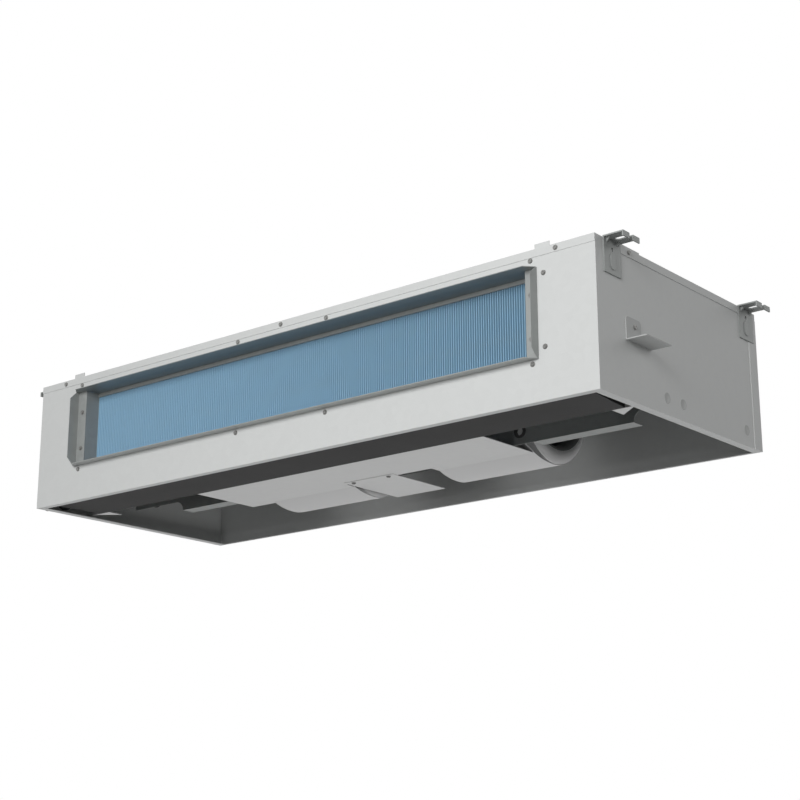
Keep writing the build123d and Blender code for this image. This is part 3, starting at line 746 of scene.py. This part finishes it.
@dataclass
class Coil(SubAssembly):
    """The finned coil with its tubes, bends, headers, seals and drain pan.

    The drain socket, like each pipe, is given by its radius, its y and its z.
    """

    fin_pitch: float = 0.0042
    fin_thickness: float = 0.0007
    fin_wave: float = 0.0003
    fin_waves: int = 2
    steps_per_wave: int = 4
    tube_radius: float = 0.0048
    row_pitch: float = 0.022
    bend_reach: float = 0.04
    nut_wall: float = 0.0045
    seal_width: float = 0.005
    seal_thickness: float = 0.003
    seal_edge: float = 0.0006
    gas_header_radius: float = 0.0095
    liquid_header_radius: float = 0.0064
    header_dome: float = 0.6
    gas_pipe_radius: float = 0.0079
    liquid_pipe_radius: float = 0.0048
    drain_socket: Point = (0.0125, -0.1695, -0.196)

    def dress(self) -> None:
        """Give the pan and the nuts their finish."""
        wear(PAN, "drain_pan")
        wear(BRASS, "flare_nuts")

    def build_fins(self) -> None:
        """Stand thin wavy fins side by side along the coil.

        A fin's two faces follow x = place plus or minus half its thickness, plus a sine wave along the
        depth.
        """
        low, high = (np.array(corner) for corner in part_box("coil_fin_pack"))
        count = round((high[0] - low[0]) / self.fin_pitch)
        places = np.linspace(low[0] + self.fin_thickness, high[0] - self.fin_thickness, count)
        depth = np.linspace(0, 1, self.steps_per_wave * self.fin_waves + 1)
        wave = self.fin_wave * np.sin(FULL_TURN * self.fin_waves * depth)
        y = low[1] + depth * (high[1] - low[1])
        left = np.stack([wave - self.fin_thickness / 2, y], -1)
        right = np.stack([wave + self.fin_thickness / 2, y], -1)[::-1]
        loop = np.concatenate([left, right])
        stock = Stock()
        for place in places:
            section = np.stack([loop[:, 0] + place, loop[:, 1]], -1)
            levels = [np.column_stack([section, np.full(len(section), z)]) for z in (low[2], high[2])]
            stock.bar(np.stack(levels))
        make_piece("coil_fins", stock, FIN_COAT, stands_for=("coil_fin_pack",), smooth_degrees=30.0)

    def build_tubes(self) -> None:
        """Bend the hairpin ends at the right and run the straight tubes through the fins.

        The node's bends fall into groups of two, one above the other, and each group is shown as one
        hairpin at the middle of its height.
        """
        low, high = (np.array(corner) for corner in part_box("coil_fin_pack"))
        turn = np.linspace(-QUARTER_TURN, QUARTER_TURN, num=17)
        reach = self.row_pitch / 2
        bends, runs = Stock(), Stock()
        for bend_low, bend_high in group_boxes("return_bends", self.bend_reach):
            middle_y = (bend_low[1] + bend_high[1]) / 2
            level = (bend_low[2] + bend_high[2]) / 2
            x = bend_low[0] + reach * np.cos(turn)
            path = np.column_stack([x, middle_y + reach * np.sin(turn), np.full(len(turn), level)])
            bends.bar(piped(path, self.tube_radius, sides=20))
            for row in (-reach, reach):
                straight = np.array([(x, middle_y + row, level) for x in (low[0], high[0])])
                runs.bar(piped(straight, self.tube_radius, sides=12))
        make_piece("hairpin_bends", bends, COPPER, stands_for=("return_bends",))
        make_piece("coil_tubes", runs, COPPER)

    def build_header(self, node: str, radius: float, pipe: Point) -> None:
        """Make a header tube with domed ends and its pipe.

        Args:
            node: The CAD node that it replaces.
            radius: The header's radius.
            pipe: The radius, y and z of the pipe.
        """
        pipe_radius, row, level = pipe
        low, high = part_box(node)
        x = high.x - radius
        line = [(low.z, 0.0), (low.z, radius), (high.z, radius), (high.z, 0.0)]
        dome = rounded(line, radius * self.header_dome, steps=4)
        angles = np.linspace(0, FULL_TURN, num=28, endpoint=False)[None, :]
        distance = np.maximum(dome[:, 1:2], POLE_RADIUS)
        tall = dome[:, 0:1] + 0 * angles
        stock = Stock()
        stock.bar(np.stack([x + distance * np.cos(angles), row + distance * np.sin(angles), tall], -1))
        stock.bar(piped(np.array([(x, row, level), (low.x, row, level)]), pipe_radius, sides=28))
        make_piece(f"{node}_tube", stock, COPPER, stands_for=(node,))

    def build_seals(self, pipes: Sequence[Point]) -> None:
        """Put a foam ring round each pipe and the drain socket, on the inside of the left-hand panel.

        Args:
            pipes: The radius, y and z of each pipe or socket.
        """
        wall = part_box("side_foam_left")[0].x
        thick = self.seal_thickness
        stock = Stock()
        for radius, row, level in pipes:
            outer = radius + self.seal_width
            line = [(0, radius), (thick, radius), (thick, outer), (0, outer)]
            section = rounded(line, self.seal_edge, steps=3, closed=True)
            stock.ring(section, (wall, row, level), sides=48)
        make_piece("pipe_seals", stock, FOAM)

    def build(self) -> None:
        """Build the fins, the tubes, both headers and the seals."""
        self.build_fins()
        self.build_tubes()
        back_low, back_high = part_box("return_bends")
        middle = (back_low.y + back_high.y) / 2
        row = self.row_pitch / 2
        nuts_low, nuts_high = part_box("flare_nuts")
        gas_level = nuts_high.z - self.nut_wall - self.gas_pipe_radius
        liquid_level = nuts_low.z + self.nut_wall + self.liquid_pipe_radius
        gas = (self.gas_pipe_radius, middle + row, gas_level)
        liquid = (self.liquid_pipe_radius, middle - row, liquid_level)
        self.build_header("gas_header", self.gas_header_radius, gas)
        self.build_header("liquid_header", self.liquid_header_radius, liquid)
        self.build_seals([gas, liquid, self.drain_socket])


@dataclass
class FanWheel:
    """A forward-curved wheel with a disc in its middle and a rim at each end."""

    side: str
    blades: int = 42
    blade_root: float = 0.067
    tip_margin: float = 0.0012
    blade_lead: float = math.radians(9.0)
    blade_thickness: float = 0.0011
    rim_width: float = 0.0045
    rim_edge: float = 0.001
    disc_thickness: float = 0.0025
    disc_margin: float = 0.001
    disc_edge: float = 0.0008
    hub_radius: float = 0.015
    hub_flare: float = 0.004
    hub_length: float = 0.034
    bore: float = 0.0061

    def blade_loop(self, tip: float) -> Array:
        """The outline of one blade's section.

        Its middle line goes out from the root, and its lead over the radius grows with the square of the
        share of the way. The two faces lie half a thickness to either side.

        Args:
            tip: The radius of the blade's tip.

        Returns:
            An array of points by 2.
        """
        share = np.linspace(0, 1, num=6)
        radius = self.blade_root + share * (tip - self.blade_root)
        angle = -self.blade_lead * share ** 2
        line = np.column_stack([radius * np.cos(angle), radius * np.sin(angle)])
        run = np.gradient(line, axis=0)
        run /= np.linalg.norm(run, axis=1, keepdims=True)
        side = np.column_stack([-run[:, 1], run[:, 0]]) * self.blade_thickness / 2
        return np.concatenate([line + side, (line - side)[::-1]])

    def build(self) -> None:
        """Build blades, rims, centre disc and hub."""
        low, high = (np.array(corner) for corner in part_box(f"wheel_rims_{self.side}"))
        centre = (low + high) / 2
        half = (high[0] - low[0]) / 2
        radius = (high[2] - low[2]) / 2
        stock = Stock()
        loop = self.blade_loop(radius - self.tip_margin)
        blade_ends = (low[0] + self.rim_width / 2, high[0] - self.rim_width / 2)
        for step in range(self.blades):
            turn = FULL_TURN * step / self.blades
            y = loop[:, 0] * math.cos(turn) - loop[:, 1] * math.sin(turn) + centre[1]
            z = loop[:, 0] * math.sin(turn) + loop[:, 1] * math.cos(turn) + centre[2]
            stock.bar(np.stack([np.column_stack([np.full(len(y), x), y, z]) for x in blade_ends]))
        width, root = self.rim_width, self.blade_root
        rim = [(0, root), (0, radius), (width, radius), (width, root)]
        for side in (-1, 1):
            line = [(side * (half - along), reach) for along, reach in rim]
            stock.ring(rounded(line, self.rim_edge, steps=3, closed=True), tuple(centre), sides=96)
        thick, hub = self.disc_thickness / 2, self.hub_length / 2
        plate = mirrored([
            (-hub, self.bore),
            (-hub, self.hub_radius),
            (-thick, self.hub_radius + self.hub_flare),
            (-thick, radius - self.disc_margin),
        ])
        stock.ring(rounded(plate, self.disc_edge, steps=3, closed=True), tuple(centre), sides=96)
        nodes = [f"wheel_{piece}_{self.side}" for piece in ("blades", "rims", "disc")]
        make_piece(f"wheel_{self.side}", stock, WHEEL, Body.ROTOR, nodes)


@dataclass
class Motor:
    """The motor's shell, with a boss at each end and a seam round its middle."""

    bore: float = 0.0062
    boss_radius: float = 0.019
    boss_length: float = 0.022
    boss_foot: float = 0.004
    boss_flare: float = 0.009
    shoulder_drop: float = 0.006
    shoulder_length: float = 0.012
    seam_mouth: float = 0.0012
    seam_floor: float = 0.0008
    seam_depth: float = 0.001
    edge: float = 0.002

    def build(self) -> None:
        """Turn the shell with rounded shoulders, bosses and a seam."""
        low, high = (np.array(corner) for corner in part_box("motor_housing"))
        centre = tuple((low + high) / 2)
        radius = (high[2] - low[2]) / 2
        boss_end = (high[0] - low[0]) / 2
        body = boss_end - self.boss_length
        line = mirrored([
            (-boss_end, self.bore),
            (-boss_end, self.boss_radius),
            (-body - self.boss_foot, self.boss_radius),
            (-body, self.boss_radius + self.boss_flare),
            (-body, radius - self.shoulder_drop),
            (-body + self.shoulder_length, radius),
            (-self.seam_mouth, radius),
            (-self.seam_floor, radius - self.seam_depth),
        ])
        stock = Stock()
        stock.ring(rounded(line, self.edge, steps=4, closed=True), centre, sides=96)
        make_piece("motor_shell", stock, MOTOR, stands_for=("motor_housing",))


@dataclass
class Blower(SubAssembly):
    """Wheels, shaft, motor, inlet rings and housings.

    Each point of a collar's crest is a share of its rise and a share of its way out from the mouth.
    """

    ends: tuple[str, ...] = ("left", "right")
    levels: tuple[str, ...] = ("upper", "lower")
    ring_margin: float = 0.0004
    ring_throat: float = 0.068
    ring_depth: float = 0.012
    ring_skin: float = 0.0015
    scroll_start: float = 0.086
    scroll_step: float = 0.005
    collar_margin: float = 0.0015
    collar_rise: float = 0.0078
    collar_inner_rise: float = 0.0032
    collar_crest: tuple[Pair, ...] = ((0.15, 1.0), (0.32, 0.93), (0.88, 0.5), (1.0, 0.15), (0.93, 0.0))
    wall_gap: float = 0.0001
    shaft_radius: float = 0.006
    shaft_chamfer: float = 0.001

    def dress(self) -> None:
        """Give the housings their finish."""
        wear(HOUSING, *(f"fan_housing_{end}_{level}" for end in self.ends for level in self.levels))

    def scroll_reach(self, turn: Array) -> Array:
        """The distance from the shaft to the scroll's outline.

        The outline is three quarter circles, each one step larger than the one before it, with centres
        moved so that they join smoothly. From a centre c and a radius r, the distance in a direction u is
        c.u plus the root of r squared minus c squared plus (c.u) squared. The last quarter eases back to the
        first radius.

        Args:
            turn: Angles in radians from the tongue, over the top and down the rear.

        Returns:
            The distance at each angle.
        """
        quarters = turn / QUARTER_TURN
        quarter = np.minimum(quarters.astype(int), 2)
        centre = np.array([(0, 0), (0, -1), (-1, -1)])[quarter] * self.scroll_step
        along = (centre * np.column_stack([-np.cos(turn), np.sin(turn)])).sum(1)
        radius = self.scroll_start + self.scroll_step * quarter
        arcs = along + np.sqrt(radius ** 2 - (centre ** 2).sum(1) + along ** 2)
        share = np.clip(quarters - 3, 0, 1)
        easing = self.scroll_start + 3 * self.scroll_step * (1 - share ** 2 * (3 - 2 * share))
        return np.where(share > 0, easing, arcs)

    def collar_section(self, mouth: float, rise: float) -> Array:
        """The closed section of a collar on an end wall.

        Args:
            mouth: The radius of the ring's mouth.
            rise: How far the collar stands out from the wall.

        Returns:
            Rows of how far a point lies out of the wall, the mouth's radius, and the point's share of the
            way from the mouth to the scroll's outline.
        """
        crest = np.array(self.collar_crest)
        front = np.column_stack([rise * crest[:, 0], np.full(len(crest), mouth), crest[:, 1]])
        back = front[::-1].copy()
        back[:, 0] = np.maximum(back[:, 0] - self.ring_skin, self.wall_gap)
        return np.concatenate([front, back])

    def bell_section(self, mouth: float, rise: float) -> Array:
        """The closed section of a bell, whose radius falls to the throat along a quarter of an ellipse.

        Args:
            mouth: The radius of the ring's mouth.
            rise: How far the bell's lip stands out from the wall.

        Returns:
            Rows in the same form as a collar's.
        """
        angle = np.linspace(0, QUARTER_TURN, num=12)
        out = rise - (self.ring_depth + rise) * (1 - np.cos(angle))
        front = np.column_stack([out, mouth - (mouth - self.ring_throat) * np.sin(angle), 0 * angle])
        return np.concatenate([front, front[::-1] + (0.0, self.ring_skin, 0.0)])

    def build_rings(self) -> None:
        """Mould the four inlet rings, each a collar inside the scroll's outline and a bell in the wheel."""
        low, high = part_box("inlet_rings")
        centre_y, centre_z = (low.y + high.y) / 2, (low.z + high.z) / 2
        mouth = (high.z - low.z) / 2 - self.ring_margin - self.ring_skin
        turn = np.linspace(0, FULL_TURN, num=128, endpoint=False)
        spare = self.scroll_reach(turn) - self.collar_margin - mouth
        lip_share = self.collar_crest[-1][0]
        collars, bells = Stock(), Stock()
        for end in self.ends:
            low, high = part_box(f"fan_housing_{end}_upper")
            for face, outward in ((low.x, -1), (high.x, 1)):
                rise = self.collar_rise if face * outward > 0 else self.collar_inner_rise
                sections = (self.collar_section(mouth, rise), self.bell_section(mouth, lip_share * rise))
                for stock, section in zip((collars, bells), sections):
                    distance = section[:, 1:2] + section[:, 2:3] * spare
                    x = face + outward * section[:, 0:1] + 0 * turn
                    y, z = centre_y - distance * np.cos(turn), centre_z + distance * np.sin(turn)
                    stock.grid(np.stack([x, y, z], -1), wrap_rows=True, wrap_columns=True)
        # The collars wear the lighter copy of the housing moulding, which is painted light.
        make_piece("inlet_collars", collars, LIT_INLET)
        # The bells wear the dark copy of the housing moulding, which is painted shade.
        make_piece("inlet_bells", bells, SHADED_BELL, stands_for=("inlet_rings",))

    def build_shaft(self) -> None:
        """Turn the shaft with chamfered ends."""
        low, high = (np.array(corner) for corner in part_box("fan_shaft"))
        half = (high[0] - low[0]) / 2
        chamfer = self.shaft_chamfer
        profile = mirrored([(-half, self.shaft_radius - chamfer), (-half + chamfer, self.shaft_radius)])
        stock = Stock()
        stock.bar(turned(np.array(profile), tuple((low + high) / 2), sides=32))
        make_piece("turned_shaft", stock, SHAFT, Body.ROTOR, ("fan_shaft",))

    def build(self) -> None:
        """Build everything that turns and what carries it."""
        for end in self.ends:
            FanWheel(end).build()
        self.build_rings()
        Motor().build()
        self.build_shaft()


class Facing(Enum):
    """The way a screw's head faces, with the axis and sign of that way."""

    FRONT = (1, -1)
    RIGHT = (0, 1)
    LEFT = (0, -1)
    DOWN = (2, -1)
    UP = (2, 1)


@dataclass
class Screws(SubAssembly):
    """Hexagon screws with a pressed washer, one for each small solid of their nodes.

    The rises and depths are along the screw. The shares are of the hexagon's outer radius.
    """

    hexagon: float = 0.0033
    washer: float = 0.0040
    washer_rise: float = 0.0004
    foot_rise: float = 0.0006
    head: float = 0.0022
    chamfer: float = 0.0004
    crown_share: float = 0.8
    dimple_share: float = 0.55
    dimple_start: float = 0.0001
    floor_share: float = 0.40
    floor_depth: float = 0.0006
    spacing: float = 0.012
    upper_level: float = -0.15

    def facing_of(self, low: Array, high: Array) -> Facing:
        """Which way a screw's solid faces: along its shortest side, away from the casing's middle.

        Args:
            low: The lowest corner of the solid's box.
            high: The highest corner of it.

        Returns:
            The way that it faces.
        """
        axis = int(np.argmin(high - low))
        middle = (low + high) / 2
        if axis == 1:
            return Facing.FRONT
        if axis == 0:
            return Facing.RIGHT if middle[0] > 0 else Facing.LEFT
        return Facing.DOWN if middle[2] < self.upper_level else Facing.UP

    def head_sections(self) -> Array:
        """Sections of a head as height, then two coordinates across it.

        The washer is round. Above it the head's outline is a hexagon: at an angle the hexagon's radius is
        its inner radius over the cosine of the angle from the nearest flat's middle.

        Returns:
            An array of sections by points round each by 3.
        """
        angles = np.linspace(0, FULL_TURN, num=24, endpoint=False)
        sector = FULL_TURN / 6
        from_flat = (angles + sector / 2) % sector - sector / 2
        hexagon = self.hexagon * math.cos(sector / 2) / np.cos(from_flat)
        circle = np.ones_like(angles)
        rows = [
            (0.0, self.washer * circle),
            (self.washer_rise, self.washer * circle),
            (self.foot_rise, hexagon),
            (self.head - self.chamfer, hexagon),
            (self.head, np.minimum(hexagon, self.hexagon * self.crown_share)),
            (self.head - self.dimple_start, self.hexagon * self.dimple_share * circle),
            (self.head - self.floor_depth, self.hexagon * self.floor_share * circle),
        ]
        return np.stack([
            np.column_stack([rise * circle, reach * np.cos(angles), reach * np.sin(angles)])
            for rise, reach in rows
        ])

    def build(self) -> None:
        """Put a head at each screw solid."""
        sections = self.head_sections()
        for node in ("outlet_screws", "casing_screws"):
            stock = Stock()
            for low, high in group_boxes(node, self.spacing):
                axis, sign = self.facing_of(low, high).value
                seat = (low + high) / 2
                seat[axis] = low[axis] if sign > 0 else high[axis]
                placed = np.zeros_like(sections)
                placed[..., [(axis + step) % 3 for step in range(3)]] = sections * (sign, 1, 1)
                stock.bar(placed + seat)
            make_piece(f"{node}_heads", stock, ZINC, stands_for=(node,), smooth_degrees=25.0)


@dataclass
class Electrics(SubAssembly):
    """What sits in the electrical box."""

    def dress(self) -> None:
        """Give the board and the terminal block their finish."""
        wear(BOARD, "control_board")
        wear(TERMINAL, "terminal_block")


@dataclass(frozen=True)
class SoftBox:
    """A lamp: where its middle is, the point that it faces, its width and height, and its watts."""

    name: str
    place: Point
    aim: Point
    size: Pair
    power: float

    def hang(self) -> None:
        """Hang the lamp, unseen by the camera and by gloss."""
        data = bpy.data.lights.new(self.name, "AREA")
        data.shape = "RECTANGLE"
        data.size, data.size_y = self.size
        data.energy = self.power
        lamp = bpy.data.objects.new(self.name, data)
        bpy.context.scene.collection.objects.link(lamp)
        lamp.location = self.place
        lamp.rotation_euler = (Vector(self.aim) - Vector(self.place)).to_track_quat("-Z", "Y").to_euler()
        lamp.visible_camera = False
        lamp.visible_glossy = False


@dataclass
class Studio:
    """White background, pale floor far below, soft boxes and the camera."""

    camera_place: Point = (1.7141, -2.0064, -0.8295)
    look: Point = (-0.61351, 0.74081, 0.27351)
    right: Point = (0.76992, 0.63813, -0.00137)
    focal_pixels: float = 1654.19
    picture_pixels: float = 800.0
    sensor: float = 36.0
    clip: Pair = (0.05, 60.0)
    floor_height: float = -3.3
    floor_half: float = 9.0
    floor_colour: Colour = (0.40, 0.40, 0.40)
    floor_roughness: float = 0.9
    dome_strength: float = 0.14
    soft_boxes: tuple[SoftBox, ...] = (
        SoftBox("front_box", (0.9, -3.1, 0.3), (0.1, 0.0, -0.1), (1.8, 1.4), power=88.0),
        SoftBox("under_box", (0.0, 0.0, -2.6), (0.0, 0.0, -0.1), (1.6, 1.2), power=28.0),
        SoftBox("side_box", (3.6, 0.4, 0.6), (0.4, 0.0, -0.1), (1.6, 1.6), power=14.0),
    )

    def set_camera(self) -> None:
        """Stand the camera where the photograph was taken."""
        data = bpy.data.cameras.new("camera")
        data.sensor_width = self.sensor
        data.lens = self.focal_pixels / self.picture_pixels * self.sensor
        data.clip_start, data.clip_end = self.clip
        camera = bpy.data.objects.new("camera", data)
        bpy.context.scene.collection.objects.link(camera)
        look = Vector(self.look).normalized()
        right = Vector(self.right)
        right = (right - look * right.dot(look)).normalized()
        up = right.cross(look)
        turn = Matrix((right, up, -look)).transposed().to_4x4()
        camera.matrix_world = Matrix.Translation(self.camera_place) @ turn
        bpy.context.scene.camera = camera

    def set_world(self) -> None:
        """Show white to the camera and to gloss, and light the rest with a soft grey dome."""
        world = bpy.data.worlds.new("studio")
        bpy.context.scene.world = world
        sky = Shader(world)
        path = sky.node("ShaderNodeLightPath", {}, {})
        camera, gloss, clear = (
            Wire(sky, path.outputs[f"Is {kind} Ray"]) for kind in ("Camera", "Glossy", "Transmission")
        )
        seen = camera.either(gloss).either(clear)
        strength = seen * (1 - self.dome_strength) + self.dome_strength
        white = {"Color": (1.0, 1.0, 1.0, 1.0), "Strength": strength}
        background = sky.node("ShaderNodeBackground", {}, white)
        sky.node("ShaderNodeOutputWorld", {}, {0: Wire(sky, background.outputs[0])})

    def lay_floor(self) -> None:
        """Lay the pale floor, three metres under the unit."""
        x, y = np.meshgrid(*[np.linspace(-self.floor_half, self.floor_half, num=3)] * 2)
        stock = Stock()
        stock.grid(np.stack([x, y, np.full_like(x, self.floor_height)], -1))
        mesh = bpy.data.meshes.new("floor")
        mesh.from_pydata(np.concatenate(stock.points), [], stock.faces)
        shader = Surface("floor_paint")
        paint = {"Base Color": (*self.floor_colour, 1.0), "Roughness": self.floor_roughness}
        shader.feed(shader.surface, paint)
        mesh.materials.append(shader.owner)
        floor = bpy.data.objects.new("floor", mesh)
        bpy.context.scene.collection.objects.link(floor)

    def build(self) -> None:
        """Set the whole studio up."""
        bpy.context.scene.view_settings.view_transform = "Standard"
        self.set_camera()
        self.set_world()
        for box in self.soft_boxes:
            box.hang()
        self.lay_floor()


def main() -> None:
    """Set up the studio, then dress the CAD nodes and build the pieces of each sub-assembly."""
    logging.basicConfig(level=logging.INFO, format="%(message)s")
    Studio().build()
    for part in (Casing(), Insulation(), Coil(), Blower(), Screws(), Electrics()):
        part.dress()
        part.build()


if __name__ == "__main__":
    main()
